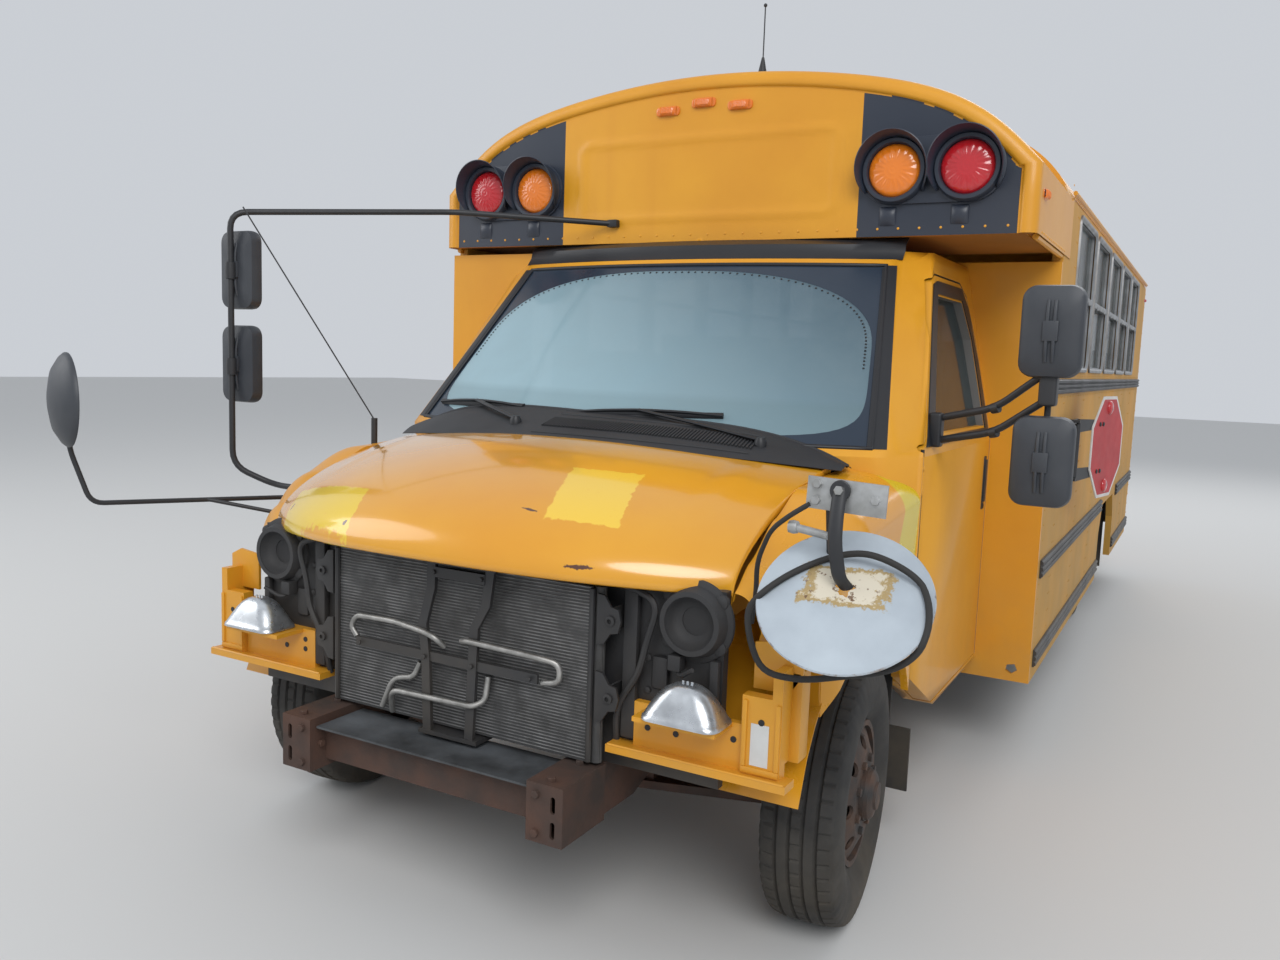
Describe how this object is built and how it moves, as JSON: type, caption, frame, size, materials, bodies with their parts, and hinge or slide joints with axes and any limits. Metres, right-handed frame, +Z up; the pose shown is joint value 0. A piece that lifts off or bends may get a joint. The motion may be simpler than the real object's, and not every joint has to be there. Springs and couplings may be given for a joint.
{
  "type": "short school bus",
  "caption": "Short school bus on a van cutaway chassis: hooded front, tall box body with sash windows, doors, stop arm and dual rear wheels; front bumper and grille missing.",
  "frame": {"origin": "on the ground, on the centre line, half way along the vehicle's length", "axes": "+X to the vehicle's left, +Y to the rear, +Z up"},
  "size_m": [2.9385, 7.3146, 2.9319],
  "materials": {
    "bus_yellow": "gloss school-bus yellow-orange, worn",
    "black_plastic": "moulded, dusty",
    "floor_steel": "dark coated floor",
    "window_glass": "clear, dusty",
    "dark_glass": "dark tinted",
    "cooler_aluminium": "dull, dirty fins",
    "mirror_plate": "white disc on a galvanised plate",
    "dash_plastic": "grained",
    "engine_iron": "oily",
    "door_black": "satin black",
    "chassis_steel": "satin black with rust",
    "reflector": "silvered",
    "lamp_lens": "red and amber lenses",
    "black_metal": "satin black",
    "black_rubber": "matt",
    "wheel_steel": "dark, rusty",
    "seat_vinyl": "dark green vinyl",
    "window_frame": "satin",
    "sign_red": "reflective red with white edge",
    "tyre": "worn black"
  },
  "bodies": {
    "chassis": {"air_deflector": "black_plastic", "antennas": "black_metal", "body_floor": "floor_steel", "body_glass": "window_glass", "cab_shell": "bus_yellow", "condenser": "cooler_aluminium", "cowl": "black_plastic", "crossview_left": "mirror_plate", "dashboard": "dash_plastic", "engine_block": "engine_iron", "fender_left": "bus_yellow", "fender_right": "bus_yellow", "frame_rails": "chassis_steel", "front_bulkhead": "bus_yellow", "front_cap": "bus_yellow", "front_suspension": "chassis_steel", "headlamps": "reflector", "lamp_brackets": "bus_yellow", "marker_lamps": "lamp_lens", "mirrors_right": "black_metal", "mud_flaps": "black_rubber", "radiator_support": "black_metal", "rear_axle": "chassis_steel", "rear_bumper": "black_metal", "rear_wall": "bus_yellow", "roof": "bus_yellow", "rub_rails": "black_metal", "seat_frames": "chassis_steel", "seats": "seat_vinyl", "side_wall_left": "bus_yellow", "side_wall_right": "bus_yellow", "side_windows": "window_frame", "stop_arm_box": "black_metal", "underbody": "chassis_steel", "warning_lamps": "lamp_lens", "windshield": "dark_glass", "wipers": "black_metal"},
    "knuckle_left": {"knuckle_left": "chassis_steel"},
    "knuckle_right": {"knuckle_right": "chassis_steel"},
    "front_wheel_left": {"tyre_front_left": "tyre", "rim_front_left": "wheel_steel"},
    "front_wheel_right": {"tyre_front_right": "tyre", "rim_front_right": "wheel_steel"},
    "rear_wheels_left": {"tyres_rear_left": "tyre", "rims_rear_left": "wheel_steel"},
    "rear_wheels_right": {"tyres_rear_right": "tyre", "rims_rear_right": "wheel_steel"},
    "hood": {"hood": "bus_yellow"},
    "driver_door": {"driver_door": "bus_yellow", "driver_door_glass": "window_glass", "mirrors_left": "black_metal"},
    "entrance_leaf_front": {"entrance_leaf_front": "door_black"},
    "entrance_leaf_rear": {"entrance_leaf_rear": "door_black"},
    "rear_door": {"rear_door": "bus_yellow"},
    "stop_sign": {"stop_sign": "sign_red"},
    "steering_wheel": {"steering_wheel": "dash_plastic"}
  },
  "joints": [
    {"name": "steer_left", "type": "hinge", "parent": "chassis", "child": "knuckle_left", "pos_m": [0.76, -2.753, 0.372], "axis": [0, 0, 1], "range_deg": [-37, 27]},
    {"name": "steer_right", "type": "hinge", "parent": "chassis", "child": "knuckle_right", "pos_m": [-0.76, -2.753, 0.372], "axis": [0, 0, 1], "range_deg": [-37, 27]},
    {"name": "front_spin_left", "type": "hinge", "parent": "knuckle_left", "child": "front_wheel_left", "pos_m": [0.89847, -2.74089, 0.372], "axis": [0.9962, 0.0872, 0], "continuous": true},
    {"name": "front_spin_right", "type": "hinge", "parent": "knuckle_right", "child": "front_wheel_right", "pos_m": [-0.89847, -2.76512, 0.372], "axis": [0.9962, 0.0872, 0], "continuous": true},
    {"name": "rear_spin_left", "type": "hinge", "parent": "chassis", "child": "rear_wheels_left", "pos_m": [0.854, 1.743, 0.372], "axis": [1, 0, 0], "continuous": true},
    {"name": "rear_spin_right", "type": "hinge", "parent": "chassis", "child": "rear_wheels_right", "pos_m": [-0.854, 1.743, 0.372], "axis": [1, 0, 0], "continuous": true},
    {"name": "hood_hinge", "type": "hinge", "parent": "chassis", "child": "hood", "pos_m": [0, -2.538, 1.312], "axis": [-1, 0, 0], "range_deg": [0, 50]},
    {"name": "driver_door_hinge", "type": "hinge", "parent": "chassis", "child": "driver_door", "pos_m": [1.003, -2.317, 1.07], "axis": [0, 0, -1], "range_deg": [0, 68]},
    {"name": "entrance_front_hinge", "type": "hinge", "parent": "chassis", "child": "entrance_leaf_front", "pos_m": [-1.225, -1.75, 1.2], "axis": [0, 0, 1], "range_deg": [0, 85]},
    {"name": "entrance_rear_hinge", "type": "hinge", "parent": "chassis", "child": "entrance_leaf_rear", "pos_m": [-1.225, -1.016, 1.2], "axis": [0, 0, -1], "range_deg": [0, 85]},
    {"name": "rear_door_hinge", "type": "hinge", "parent": "chassis", "child": "rear_door", "pos_m": [-0.463, 3.572, 1.4], "axis": [0, 0, 1], "range_deg": [0, 110]},
    {"name": "stop_arm_hinge", "type": "hinge", "parent": "chassis", "child": "stop_sign", "pos_m": [1.275, -0.803, 1.26], "axis": [0, 0, -1], "range_deg": [-8, 79]},
    {"name": "steering_wheel_turn", "type": "hinge", "parent": "chassis", "child": "steering_wheel", "pos_m": [0.48, -1.953, 1.28], "axis": [0, 0.6, 0.8], "range_deg": [-592, 432]}
  ],
  "couplings": [
    {"joint": "steer_right", "follows": "steer_left", "ratio": 1},
    {"joint": "steering_wheel_turn", "follows": "steer_left", "ratio": 16},
    {"joint": "entrance_rear_hinge", "follows": "entrance_front_hinge", "ratio": 1}
  ]
}
